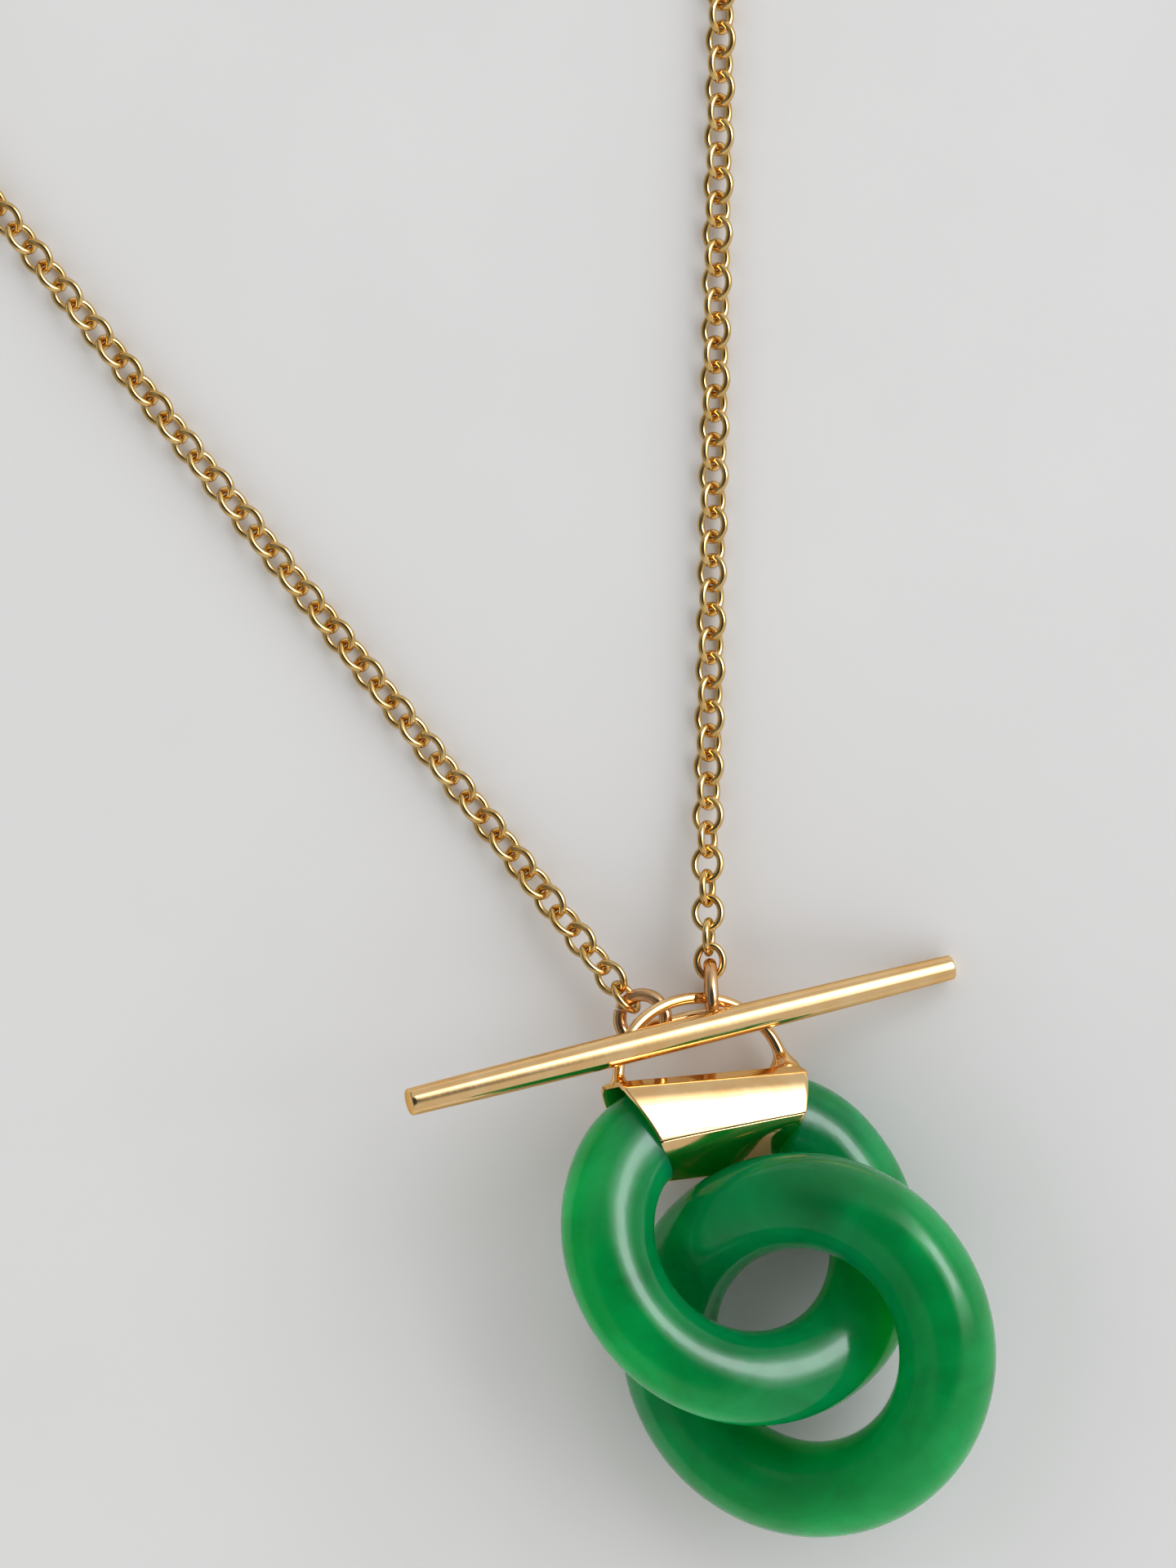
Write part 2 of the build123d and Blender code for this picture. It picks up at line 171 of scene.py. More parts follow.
def between(tree, value, low, high, start=0.0, end=1.0):
    """A value remapped from start..end to low..high."""
    node = tree.nodes.new("ShaderNodeMapRange")
    for socket, number in (("From Min", start), ("From Max", end), ("To Min", low), ("To Max", high)):
        node.inputs[socket].default_value = number
    tree.links.new(value, node.inputs["Value"])
    return node.outputs["Result"]


def bump(tree, shader, height, strength, distance):
    """Tiny relief, seen only in how the surface reflects."""
    node = tree.nodes.new("ShaderNodeBump")
    node.inputs["Strength"].default_value = strength
    node.inputs["Distance"].default_value = distance
    tree.links.new(height, node.inputs["Height"])
    tree.links.new(node.outputs["Normal"], shader.inputs["Normal"])


print("at a scale of 400, the waves of noise are", 1 / 400 / mm, "mm long")

# %% [markdown]
# Gold. The bail and the bar are a warm yellow metal with a high polish, broken by hairline wear. The chain
# is yellower, and its wire is painted darker at its edges, as painted shade from the links that stand next
# to it. The jump rings are redder and scuffed. Three separate materials could be built by hand, but one
# recipe covers them: the colour drifts between two tones, the roughness between two values, a faint bump is
# stretched along the wear, and the specular tint darkens what is seen edge on, a painted shade at the
# edges that is strongest on the chain.
#
# Narrow seams are darkened in their colour: painted shade of the fold, together with dirt that settles
# there.
# Where a mesh carries a number for this at its corners, the recipe blends the gold towards dark brown.
# Other meshes have no such number, which reads as zero.

# %% Gold
tone_scale, tone_span = 420, (0.35, 0.70)
wear_scale, wear_span, wear_stretch = 900, (0.35, 0.75), (1, 0.35, 1)
hairline_scale, hairline_depth, hairline_stretch = 1500, 0.00004, (1, 0.3, 1)
# the colour that seams are blended towards: painted shade, together with dirt
painted_seam_shade_and_dirt = (0.035, 0.018, 0.008, 1)


def gold_finish(name, light, deep, edge, smooth, dull, relief):
    """Polished gold: its colour drifts between two tones, its roughness between smooth and dull."""
    finish, tree, shader = new_finish(name, Metallic=1.0, Specular_Tint=(*edge, 1))
    tone = ramp(tree, noise(tree, tone_scale, detail=4.0), zip(tone_span, (light, deep)))
    # a number at the corners paints shade, together with dirt, into the seam
    seam_shade_and_dirt = tree.nodes.new("ShaderNodeAttribute")
    seam_shade_and_dirt.attribute_name = "seam_shade_and_dirt"
    darkened = tree.nodes.new("ShaderNodeMix")
    darkened.data_type = "RGBA"
    darkened.inputs["B"].default_value = painted_seam_shade_and_dirt
    tree.links.new(seam_shade_and_dirt.outputs["Fac"], darkened.inputs["Factor"])
    tree.links.new(tone, darkened.inputs["A"])
    tree.links.new(darkened.outputs["Result"], shader.inputs["Base Color"])
    wear = noise(tree, wear_scale, detail=6.0, stretch=wear_stretch)
    tree.links.new(between(tree, wear, smooth, dull, *wear_span), shader.inputs["Roughness"])
    hairlines = noise(tree, hairline_scale, detail=5.0, stretch=hairline_stretch)
    bump(tree, shader, hairlines, relief, hairline_depth)
    return finish


gold = gold_finish(
    "polished_gold", light=(0.97, 0.67, 0.34), deep=(0.92, 0.57, 0.24), edge=(0.82, 0.58, 0.30),
    smooth=0.07, dull=0.15, relief=0.08,
)
# the chain's edge tint is nearly brown: painted shade from the neighbouring links at the wire's edges
chain_gold = gold_finish(
    "chain_gold", light=(0.92, 0.65, 0.28), deep=(0.82, 0.52, 0.17), edge=(0.28, 0.15, 0.04),
    smooth=0.09, dull=0.17, relief=0.15,
)
jump_gold = gold_finish(
    "scuffed_red_gold", light=(0.92, 0.62, 0.34), deep=(0.70, 0.38, 0.17), edge=(0.50, 0.28, 0.12),
    smooth=0.14, dull=0.32, relief=0.50,
)

# %% [markdown]
# Jade is a dense stone, but light enters it and leaves again a little way off. Paint would look flat here,
# and glass would be far too clear. Subsurface scattering is the right tool: green travels furthest, blue
# less and red hardly at all, so the rims glow and the shade side stays green. Two things keep it from
# looking like plastic: soft clouds in the body colour, from deep to pale green, and a polish that is a
# little wavy and uneven, because it was done by hand.

# %% Jade
cloud_scale, polish_scale, polish_range, polish_span = 130, 450, (0.09, 0.20), (0.35, 0.70)
wave_scale, wave_strength, wave_depth = 300, 0.20, 0.0002
cloud_tones = ((0.30, (0.000, 0.112, 0.032)), (0.52, (0.000, 0.172, 0.054)), (0.75, (0.003, 0.262, 0.084)))
jade, jade_tree, jade_shader = new_finish(
    "waxy_jade", Subsurface_Weight=1.0, Subsurface_Scale=0.0016, IOR=1.37, Coat_Weight=0.1,
    Coat_Roughness=0.04,
)
jade_shader.inputs["Subsurface Radius"].default_value = (0.8, 16.0, 5.0)
clouds = noise(jade_tree, cloud_scale, detail=5.0, distortion=0.6)
jade_tree.links.new(ramp(jade_tree, clouds, cloud_tones), jade_shader.inputs["Base Color"])
polish = noise(jade_tree, polish_scale, detail=6.0)
jade_tree.links.new(between(jade_tree, polish, *polish_range, *polish_span), jade_shader.inputs["Roughness"])
bump(jade_tree, jade_shader, noise(jade_tree, wave_scale, detail=4.0), wave_strength, wave_depth)

# %% [markdown]
# Nearly every piece here is drawn wire, or a form that was turned or bent. Blender could make them with
# curve objects and modifiers. A grid of corners does the same with less to keep track of: rows run along
# the piece, columns run round it, and the same two functions then serve the bar, the loop, the links and
# the jade.
#
# The section of the wire is set out from two directions: the normal of the flat path, and the direction
# that points out of its bends. That keeps the columns from twisting along the path.

# %% Grids and wire
def grid_faces(rows, columns, close_rows):
    """Quads of a grid whose columns always close; close_rows joins the last row to the first."""
    row = np.arange(rows if close_rows else rows - 1)[:, None]
    column = np.arange(columns)[None, :]
    ahead, beside = (row + 1) % rows, (column + 1) % columns
    row, ahead = row * columns, ahead * columns
    quads = [row + column, row + beside, ahead + beside, ahead + column]
    return np.stack([np.broadcast_to(q, (len(row), columns)) for q in quads], axis=-1).reshape(-1, 4)


def wire(path, across, radius, sides, closed):
    """A grid of corners round a flat path: across is the normal of the path's plane."""
    path, across = np.asarray(path, float), unit(across)
    if closed:
        along = np.roll(path, -1, 0) - np.roll(path, 1, 0)
    else:
        along = np.gradient(path, axis=0)
    along /= np.linalg.norm(along, axis=1)[:, None]
    out = np.cross(along, across)
    radius = np.broadcast_to(np.asarray(radius, float), (len(path),))[:, None, None]
    angle = np.linspace(0, 2 * pi, sides, endpoint=False)[None, :, None]
    return path[:, None] + radius * (np.cos(angle) * out[:, None] + np.sin(angle) * across)


print("a closed grid of 8 rows and 6 columns has", len(grid_faces(8, 6, True)), "faces")

# %% [markdown]
# A grid becomes a piece here. A piece may need several grids, as a bar and its eyelet do. Metal that is
# soldered together is one piece, and grids may then run into each other. An open grid gets a flat cap at
# each end. Faces that look inward would be lit wrongly, so the signed volume of each skin is worked out,
# and a skin that comes out inside out is turned over. The corners are held in the box of the solids, which
# only touches links that are a hair fuller than their solids.
#
# Smooth shading hides the facets, and edges sharper than a set angle stay crisp.

# %% From grids to a piece
sharp_angle = radians(40)


def outward(corners, quads):
    """Whether a closed skin's faces look outward: its signed volume is then above zero."""
    a, b, c, d = (corners[quads[:, i]] for i in range(4))
    return np.sum(np.cross(a, b) * c) + np.sum(np.cross(a, c) * d) > 0


def skin(parts):
    """The corners and faces of several (grid, closed) pairs, all with their faces outward."""
    corners, faces, count = [], [], 0
    for grid, closed in parts:
        rows, columns = grid.shape[:2]
        points = grid.reshape(-1, 3)
        quads = grid_faces(rows, columns, closed)
        first_row, last_row = list(range(columns)), list(range((rows - 1) * columns, rows * columns))
        caps = [] if closed else [first_row[::-1], last_row]
        step = 1 if outward(points - points.mean(0), quads) else -1
        corners.append(points)
        faces += [[corner + count for corner in face][::step] for face in quads.tolist() + caps]
        count += rows * columns
    return np.vstack(corners), faces


def piece(name, parts, finish, node, seam_shade_and_dirt=None):
    """One mesh object from (grid, closed) pairs in lying millimetres, standing for a node of the frame."""
    corners, faces = skin(parts)
    corners = np.clip((corners + np.array(shift)) * mm, cad_low, cad_high)
    mesh = bpy.data.meshes.new(name)
    mesh.from_pydata(corners.tolist(), [], faces)
    mesh.validate()
    mesh.shade_smooth()
    mesh.set_sharp_from_angle(angle=sharp_angle)
    mesh.materials.append(finish)
    # a number at each corner that paints shade, together with dirt, into the crease groove
    if seam_shade_and_dirt is not None:
        darkness = mesh.attributes.new("seam_shade_and_dirt", "FLOAT", "POINT")
        darkness.data.foreach_set("value", np.pad(seam_shade_and_dirt.ravel(), (0, len(corners) - seam_shade_and_dirt.size)))
    thing = bpy.data.objects.new(name, mesh)
    bpy.context.scene.collection.objects.link(thing)
    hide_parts(node)
    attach(thing, "root")
    mesh.calc_loop_triangles()
    print(f"{name}: {len(mesh.loop_triangles)} triangles")
    return thing


print("all corners are held in a box of", [round(v / mm, 2) for v in cad_high - cad_low], "mm")

# %% [markdown]
# The lower ring is a torus, turned and polished by hand. It passes through the upper ring, so one side of
# it lies on the surface and the other is carried by the upper ring's far side: it is tilted. Blender has a
# torus primitive, but the wire function above gives the same shape with an even grid, at the right place
# at once.

# %% Lower jade ring
lower_radius, lower_section = 9.65, 3.155
lower_tilt, lower_lean = 22.0798, 1.6
around = np.linspace(0, 2 * pi, 360, endpoint=False)
circle = np.stack([np.cos(around), np.sin(around), 0 * around], axis=1)
lower_height = lower_radius * sin(radians(lower_tilt)) + lower_section
lower_place = leaning((*lower_ring_center, lower_height), lower_lean, lower_tilt)
print("the lower ring's middle is", round(lower_height, 2), "mm above the surface")
lower_grid = moved(lower_place, wire(circle * lower_radius, (0, 0, 1), lower_section, 128, True))
piece("jade_lower", [(lower_grid, True)], jade, "jade_ring_lower")

# %% [markdown]
# The upper ring carries the bail. Its section is an oval, and on the bail's side it is flattened, and
# ground back under the cuff so that the sheet lies almost flush with the stone. A boolean cut would do
# that, but it leaves long thin faces that spoil a polish. So the path is drawn as a circle with a straight
# stretch and two tighter shoulders, and later the corners under the cuff are pulled in to the cuff's own
# inside.

# %% The upper ring's path and place
upper_radius, upper_section, upper_thickness = 9.38, 3.115, 2.49
upper_center, upper_tilt, upper_lean = (-0.649753, -9.54174), 27.57, -155.3
flat_depth, shoulder_radius, bail_bearing = 1.4, 6.0, -126.0
flat_distance = upper_radius - flat_depth
shoulder_reach = upper_radius - shoulder_radius
shoulder_angle = acos((flat_distance - shoulder_radius) / shoulder_reach)
shoulder_x, shoulder_y = shoulder_reach * cos(shoulder_angle), shoulder_reach * sin(shoulder_angle)


def ring_distance(angle):
    """Distance of the upper ring's centre line from its middle, by the angle from the bail."""
    angle = np.abs((angle + pi) % (2 * pi) - pi)
    off = shoulder_x * np.sin(angle) - shoulder_y * np.cos(angle)
    shoulder = shoulder_x * np.cos(angle) + shoulder_y * np.sin(angle)
    shoulder = shoulder + np.sqrt(np.maximum(shoulder_radius**2 - off**2, 0))
    straight = flat_distance / np.maximum(np.cos(angle), 0.1)
    distance = np.where(angle < shoulder_angle, shoulder, upper_radius)
    return np.where(angle < atan2(shoulder_y, flat_distance), straight, distance)


low, flat = sin(radians(upper_tilt)), cos(radians(upper_tilt))
upper_height = upper_radius * low + hypot(upper_section * low, upper_thickness * flat)
turn = radians(bail_bearing)
turned = place((0, 0, 0), (cos(turn), sin(turn), 0), (0, 0, 1))
upper_place = leaning((*upper_center, upper_height), upper_lean, upper_tilt) @ turned
print("the upper ring's middle is", round(upper_height, 2), "mm above the surface")

# %% [markdown]
# The cuff is one strip of sheet gold, folded round the ring. It has a flat plate on top for the loop, a
# bent front, one crease low down where it turns under in two slopes, and a flat foot.
#
# It could be modelled as a flat strip and bent with a modifier, but a modifier bends to one radius and
# this strip has several. So its section is written down as seen from its end: straight lines for the plate
# and the bevel before it, and arcs through three points for the bulging front, the back and the round
# underside.

# %% The cuff's folded section
sheet, play = 0.35, 0.08
cuff_top, cuff_bottom, cuff_front, cuff_back = 3.20, 3.60, 3.10, 3.05
top_front, top_back, bevel = 1.20, 1.70, 0.45
front_bulge, back_bulge = (0.40, 0.93), (0.45, 0.92)
bail_swing = radians(12.0)
cuff_place = place((flat_distance, 0, 0), (0, -1, 0), (-sin(bail_swing), 0, cos(bail_swing)))


def arc_points(start, middle, end, count):
    """Points on the arc through three points."""
    (ax, ay), (bx, by), (cx, cy) = start, middle, end
    d = 2 * (ax * (by - cy) + bx * (cy - ay) + cx * (ay - by))
    a2, b2, c2 = ax * ax + ay * ay, bx * bx + by * by, cx * cx + cy * cy
    ux = (a2 * (by - cy) + b2 * (cy - ay) + c2 * (ay - by)) / d
    uy = (a2 * (cx - bx) + b2 * (ax - cx) + c2 * (bx - ax)) / d
    angles = [atan2(y - uy, x - ux) for x, y in (start, middle, end)]
    for i in (1, 2):
        while angles[i] - angles[i - 1] > pi:
            angles[i] -= 2 * pi
        while angles[i] - angles[i - 1] < -pi:
            angles[i] += 2 * pi
    sweep = np.linspace(angles[0], angles[2], count)
    radius = hypot(ax - ux, ay - uy)
    return np.stack([ux + radius * np.cos(sweep), uy + radius * np.sin(sweep)], axis=1)


ridge, heel = (cuff_top, top_front), (cuff_top, -top_back)
brow = (cuff_top - bevel, top_front + 2 * bevel)
low_back, low_front = (cuff_front - cuff_bottom, -cuff_back), (cuff_front - cuff_bottom, cuff_front)
outline = np.vstack(
    [
        np.linspace(brow, ridge, 12)[:-1],
        np.linspace(ridge, heel, 40)[:-1],
        arc_points(heel, (back_bulge[0] * cuff_top, -back_bulge[1] * cuff_back), low_back, 60)[:-1],
        arc_points(low_back, (-cuff_bottom, 0), low_front, 90)[:-1],
        arc_points(low_front, (front_bulge[0] * cuff_top, front_bulge[1] * cuff_front), brow, 60)[:-1],
    ]
)
section_middle = np.array([-0.3, 0.0])
outline_length = np.linalg.norm(np.roll(outline, -1, 0) - outline, axis=1).sum()
print("the folded strip is", round(outline_length, 1), "mm round before its underside is cut")

# %% [markdown]
# Three planes now cut the round underside into two slopes and a foot. They run a little askew, as on
# hand-made work. Where two surfaces meet, a soft least of two distances rounds the corner, which a plain
# least would leave razor sharp. Along the crease runs a fine groove, where the metal was folded over.
#
# One function gives a point of the sheet from a direction round the section, a place along it and a depth,
# so the outside, the inside and the seat in the jade all come from the same description and can't
# disagree.

# %% Slopes, foot and crease
crease_drop, crease_slope, crease_skew = 0.45, radians(30.0), 0.045
under_length, under_slope, under_skew = 0.75, radians(56.0), 0.098
foot_flat, foot_skew = 3.55, 0.07
crease_groove, groove_width, groove_drop = 0.05, 0.020, 0.012
under_drop = under_length * sin(crease_slope) / cos(crease_slope)
under_start = (0, -crease_drop - under_length, cuff_front - under_drop)
least_facing, out_of_reach = 0.05, 99.0
crease_way = (crease_skew, -sin(crease_slope), cos(crease_slope))
under_way = (under_skew, -sin(under_slope), cos(under_slope))
cuts = (
    # direction of the plane, a point on it, softness of its edge, depth of a groove along that edge
    (crease_way, (0, -crease_drop, cuff_front), 0.015, crease_groove),
    (under_way, under_start, 0.12, 0),
    ((foot_skew, -1.0, 0.0), (0, -foot_flat, 0), 0.03, 0),
)


def soft_least(first, second, softness):
    """The smaller of two distances, with the corner between them a little rounded."""
    gap = np.clip((second - first) / softness, -30, 30)
    return first - softness * np.log1p(np.exp(-gap))


def outline_reach(angle, depth):
    """Distance from the section's middle to the folded strip, by direction and depth in the sheet."""
    edge = np.roll(outline, -1, 0) - np.roll(outline, 1, 0)
    normal = np.stack([-edge[:, 1], edge[:, 0]], axis=1) / np.linalg.norm(edge, axis=1)[:, None]
    normal *= np.sign(np.sum(normal * (outline - section_middle), axis=1))[:, None]
    reach = np.zeros(angle.shape)
    for level in np.unique(depth):
        inner = outline - normal * level - section_middle
        turn_of = np.arctan2(inner[:, 1], inner[:, 0])
        order = np.argsort(turn_of)
        spread = np.interp(angle, turn_of[order], np.linalg.norm(inner, axis=1)[order], period=2 * pi)
        reach = np.where(depth == level, spread, reach)
    return reach


def sheet_point(along, angle, depth, grooved=True):
    """A point of the cuff: along its length, by the angle round its section, at a depth in the sheet."""
    depth, along, angle = np.broadcast_arrays(depth, along, angle)
    reach = outline_reach(angle, depth)
    for direction, point, softness, groove in cuts:
        direction = unit(direction)
        room = direction @ np.array(point) - depth - direction[0] * along - direction[1:] @ section_middle
        facing = direction[1] * np.cos(angle) + direction[2] * np.sin(angle)
        cut = np.where(facing > least_facing, room / np.maximum(facing, least_facing), out_of_reach)
        in_groove = np.exp(-(((reach - cut - groove_drop) / groove_width) ** 2)) * (depth < sheet / 2)
        reach = soft_least(reach, cut, softness) - grooved * groove * in_groove
    out = section_middle[0] + reach * np.cos(angle)
    front = section_middle[1] + reach * np.sin(angle)
    return np.stack([along, out, front], axis=-1)


print("the front of the cuff at its middle:", sheet_point(0.0, pi / 2, 0.0).round(2))

# %% [markdown]
# The strip narrows towards the ring's hole, so its two ends are curves. Cutting them from a longer sheet
# with a boolean would leave uneven faces along the edge. Here each end is a parabola through the reach at
# the foot, at the waist and at the top. The maker filed off the sharp corners at the top, a little at the
# left and more at the right, and a quarter circle stands for that.

# %% The cuff's ends
reach_left, waist_left, foot_left, corner_left = 7.35, 5.85, 4.20, 0.1
reach_right, waist_right, foot_right, corner_right = 5.75, 4.75, 3.80, 0.5
waist_share, top_share = 0.14, 0.90
heights = (-cuff_bottom, -waist_share * cuff_bottom, top_share * cuff_top)
left_curve = np.polyfit(heights, (-foot_left, -waist_left, -reach_left), 2)
right_curve = np.polyfit(heights, (foot_right, waist_right, reach_right), 2)


def plain_end(curve, out):
    """Where along its length the sheet ends, by the height in its section."""
    return np.polyval(curve, np.clip(out, heights[0], heights[2]))


def cuff_end(curve, angle, corner):
    """Where the sheet ends, by the angle round its section, with a rounded top corner."""
    along = np.zeros(np.shape(angle))
    for _ in range(4):
        out = sheet_point(along, angle, 0.0)[..., 1]
        into_corner = np.clip((out - cuff_top) / corner + 1, 0, 1)
        along = plain_end(curve, out)
        along = along - np.sign(along) * corner * (1 - np.sqrt(1 - into_corner**2))
    return along


print("the cuff is", round(reach_left + reach_right, 2), "mm long at the top")

# %% [markdown]
# Now the upper ring can be made. First comes the ring as it was turned: a round wire along its path,
# stretched to an oval section. Then comes the seat under the cuff, which a jeweller grinds until the sheet
# fits. Every corner is looked at from the middle of the cuff's section, and what would stick through the
# sheet is drawn in to its inside, less a little play. The grid stays whole, so the polish stays smooth
# beside the seat.

# %% Upper jade ring, drawn in under the cuff
seat_margin = 0.12
bearing = np.linspace(0, 2 * pi, 420, endpoint=False)
circle_path = np.stack([np.cos(bearing), np.sin(bearing), 0 * bearing], axis=1)
upper_path = circle_path * ring_distance(bearing)[:, None]
oval_section = np.array([upper_section, upper_section, upper_thickness])
upper_grid = wire(upper_path, (0, 0, 1), 1.0, 144, True) - upper_path[:, None]
upper_grid = upper_path[:, None] + upper_grid * oval_section


def from_section_middle(points):
    """Angle and distance of points in the cuff's own frame, seen from the middle of its section."""
    out, front = points[..., 1] - section_middle[0], points[..., 2] - section_middle[1]
    return np.arctan2(front, out), np.hypot(out, front)


in_cuff = moved(np.linalg.inv(cuff_place), upper_grid)
angle_in_cuff, reach_now = from_section_middle(in_cuff)
inside = sheet_point(in_cuff[..., 0], angle_in_cuff, sheet + play)
reach_room = from_section_middle(inside)[1]
covered = in_cuff[..., 0] > plain_end(left_curve, in_cuff[..., 1]) + seat_margin
covered &= in_cuff[..., 0] < plain_end(right_curve, in_cuff[..., 1]) - seat_margin
near_bail = reach_now < 2 * upper_section
pulled = covered & near_bail & (reach_now > reach_room)
in_cuff[pulled] = inside[pulled]
print(pulled.sum(), "corners of the upper ring are drawn in under the cuff")
upper_grid = moved(upper_place, moved(cuff_place, in_cuff))
piece("jade_upper", [(upper_grid, True)], jade, "jade_ring_upper")

# %% [markdown]
# The cuff becomes one closed skin, which runs over the outside, round the rim, along the inside and back
# round the other rim. A flat sheet with a thickness modifier would give the same, but without control over
# the rims, which are softened here by two narrow bevels. The columns stand closer together near the
# crease, because its groove is finer than the rest. How deep each corner lies in the groove also sets how
# much its colour is darkened there: painted shade of the fold, together with dirt.

# %% The cuff's skin
rim, rim_bevel, shade_and_dirt_gain = 0.06, 0.018, 1.4
crease_from, crease_to = radians(84), radians(106)
turns = np.linspace(-pi, pi, 320, endpoint=False)
near_crease = np.linspace(crease_from, crease_to, 160)
turns = np.sort(np.concatenate([turns[(turns < near_crease[0]) | (turns > near_crease[-1])], near_crease]))
left_outer = cuff_end(left_curve, turns, corner_left)
right_outer = cuff_end(right_curve, turns, corner_right)
run = np.linspace(0, 1, 56)


def across_cuff(share):
    """Places along the cuff, at a share of the way from its left rim to its right rim."""
    return left_outer + rim + share * (right_outer - left_outer - 2 * rim)


rows = [(across_cuff(share), 0.0) for share in run]
rows += [(right_outer - rim_bevel, rim_bevel), (right_outer, rim)]
rows += [(right_outer, sheet - rim), (right_outer - rim_bevel, sheet - rim_bevel)]
rows += [(across_cuff(share), sheet) for share in run[::-1]]
rows += [(left_outer + rim_bevel, sheet - rim_bevel), (left_outer, sheet - rim)]
rows += [(left_outer, rim), (left_outer + rim_bevel, rim_bevel)]
cuff_grid = np.stack([sheet_point(along, turns, depth) for along, depth in rows])
cuff_plain = np.stack([sheet_point(along, turns, depth, grooved=False) for along, depth in rows])
# the deeper a corner lies in the groove, the more painted shade and dirt darken its colour
groove_share = np.clip(shade_and_dirt_gain * np.linalg.norm(cuff_grid - cuff_plain, axis=2) / crease_groove, 0, 1)
print("the cuff's skin has", cuff_grid.shape[0], "rows of", cuff_grid.shape[1], "corners")

# %% [markdown]
# The wire loop is half an oval that leans back a little, and its feet are soldered to the top plate.
# Solder creeps up both feet, more on the right than on the left. A cone at each foot would show a hard
# line where it ends, so the wire swells there by a bell-shaped amount.
#
# On the real necklace cuff and loop are one piece of metal, so they become one mesh. The last lines
# measure how near the cuff comes to the lower ring, because they must not touch.

# %% The loop, and the bail as one piece
loop_half_width, loop_height, loop_wire = 5.92, 5.30, 0.76
loop_shift, loop_droop = -0.82, radians(4.0)
solder_flare = {-1: (0.26, 0.40), 1: (0.70, 0.80)}
loop_foot = (loop_shift, cuff_top - sheet / 2, (top_front - top_back) / 2)
loop_place = place(loop_foot, (1, 0, 0), (0, sin(loop_droop), cos(loop_droop)))
bow = np.linspace(0, pi, 160)
loop_path = np.stack([loop_half_width * np.cos(bow), loop_height * np.sin(bow), 0 * bow], axis=1)
loop_radius = np.full(len(bow), loop_wire / 2)
for side, (flare, reach) in solder_flare.items():
    from_foot = np.hypot(loop_path[:, 0] - side * loop_half_width, loop_path[:, 1])
    loop_radius += flare * np.exp(-((from_foot / reach) ** 2))
loop_grid = moved(loop_place, wire(loop_path, (0, 0, 1), loop_radius, 40, False))
bail_place = upper_place @ cuff_place
bail_parts = [(moved(bail_place, cuff_grid), True), (moved(bail_place, loop_grid), False)]
in_lower = moved(np.linalg.inv(lower_place), bail_parts[0][0])
from_circle = np.hypot(np.hypot(in_lower[..., 0], in_lower[..., 1]) - lower_radius, in_lower[..., 2])
print(f"the cuff clears the lower ring by {from_circle.min() - lower_section:.3f} mm")
piece("bail_dressed", bail_parts, gold, "bail", seam_shade_and_dirt=groove_share)

# %% [markdown]
# The toggle bar is a solid rod, thicker in the middle than at its ends, with softly rounded edges. It
# leans on the bail's loop, and its low end rests on the surface. A cylinder with a taper would miss the
# swell, so the rod is a wire whose radius follows a parabola. The edges could be rounded with a bevel
# modifier. A few more rows at each end do the same, and the jump rings will need them too, so they are a
# helper.

# %% The bar's rod
end_steps = np.array([0.0, 0.01, 0.1, 0.4, 1.0])
end_drops = np.array([1.0, 0.55, 0.2, 0.0])
tip = 0.01


def round_ends(path, radius, edge):
    """Adds rows to both ends of a path so that the wire closes in a flat end with a rounded edge."""
    path = np.asarray(path, float)
    radius = np.broadcast_to(np.asarray(radius, float), (len(path),)).copy()
    for way in (1, -1):
        path, radius = path[::way], radius[::way]
        inward = unit(path[1] - path[0]) * edge
        widths = [tip * edge, *(radius[0] - edge * end_drops)]
        path = np.vstack([path[0] + end_steps[:, None] * inward, path[1:]])
        radius = np.concatenate([widths, radius[1:]])
        path, radius = path[::way], radius[::way]
    return path, radius


bar_length, bar_left, bar_mid, bar_right, bar_edge = 38.5, 1.77, 2.03, 1.62, 0.12
bar_middle, bar_height, bar_heading, bar_tilt = (0.05, 4.391), 6.559594, -5.5, 17.400392
bar_place = leaning((*bar_middle, bar_height), bar_heading, -bar_tilt)
stations = np.linspace(-bar_length / 2, bar_length / 2, 120)
swell = np.polyfit((-bar_length / 2, 0, bar_length / 2), (bar_left / 2, bar_mid / 2, bar_right / 2), 2)
bar_path = np.stack([stations, 0 * stations, 0 * stations], axis=1)
bar_path, bar_radius = round_ends(bar_path, np.polyval(swell, stations), bar_edge)
bar_grid = moved(bar_place, wire(bar_path, (0, 1, 0), bar_radius, 96, False))
print("the bar is at most", round(2 * bar_radius.max(), 2), "mm thick")

# %% [markdown]
# A bent wire eyelet is soldered under the bar, and both jump rings go through it. It could be half a
# torus, but the real one has two straight legs and two bends. So its path is put together from a leg, a
# quarter circle, a straight bottom, a second quarter and the other leg. Its ends are sunk in the rod, so
# they need no finish.

# %% The bar's eyelet, and the bar as one piece
eyelet_left, eyelet_right, eyelet_depth, eyelet_corner, eyelet_wire = 2.25, 3.60, 4.15, 2.0, 0.74
eyelet_lean = radians(12.0)
quarter_turn = np.linspace(0, pi / 2, 16)
bend_start = eyelet_corner - eyelet_depth
left_leg = np.linspace((-eyelet_left, 0), (-eyelet_left, bend_start), 12)[:-1]
right_leg = np.linspace((eyelet_right, bend_start), (eyelet_right, 0), 12)[1:]
out_of_bend = eyelet_corner * (1 - np.cos(quarter_turn))
down_bend = eyelet_corner * (1 - np.sin(quarter_turn))
left_bend = np.stack([-eyelet_left + out_of_bend, -eyelet_depth + down_bend], axis=1)
right_bend = np.stack([eyelet_right - down_bend, -eyelet_depth + out_of_bend], axis=1)
eyelet_path = np.vstack([left_leg, left_bend, right_bend, right_leg])
